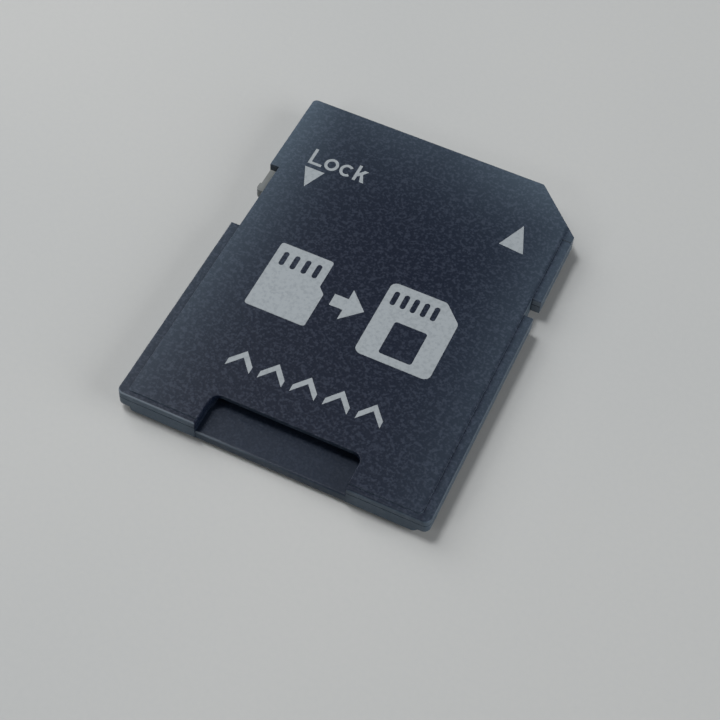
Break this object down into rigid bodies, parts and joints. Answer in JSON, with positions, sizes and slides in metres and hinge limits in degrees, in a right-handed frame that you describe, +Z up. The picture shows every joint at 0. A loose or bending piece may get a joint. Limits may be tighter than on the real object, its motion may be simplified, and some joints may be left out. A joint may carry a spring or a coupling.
{
  "type": "memory card adapter",
  "caption": "Flat full-size card case with a cut corner, a front slot and thumb notch for a small memory card, contact pads underneath and a sliding lock tab.",
  "frame": {"origin": "centre of the underside of the card, in the plane that it rests on", "axes": "+X across the card towards the cut corner, +Y along the card from the slot end to the contact end, +Z up through the label face"},
  "size_m": [0.024, 0.032, 0.0021],
  "materials": {
    "case_plastic": "moulded ABS with a fine spark-eroded texture",
    "slider_plastic": "natural moulded acetal, slightly translucent",
    "carrier_plastic": "moulded glass-filled polyester",
    "spring_steel": "stamped stainless spring strip",
    "contact_gold": "gold-flashed phosphor bronze",
    "print_ink": "white pad-printed ink"
  },
  "bodies": {
    "root": {"bottom_shell": "case_plastic", "top_cover": "case_plastic", "contact_carrier": "carrier_plastic", "card_retention_spring": "spring_steel", "terminal_data1": "contact_gold", "terminal_data0": "contact_gold", "terminal_ground": "contact_gold", "terminal_clock": "contact_gold", "terminal_supply": "contact_gold", "terminal_command": "contact_gold", "terminal_data3": "contact_gold", "terminal_data2": "contact_gold"},
    "slider": {"lock_slider": "slider_plastic"}
  },
  "joints": [
    {"name": "lock_slide", "type": "slide", "parent": "root", "child": "slider", "axis": [0, -1, 0], "range_m": [0, 0.0034]}
  ]
}
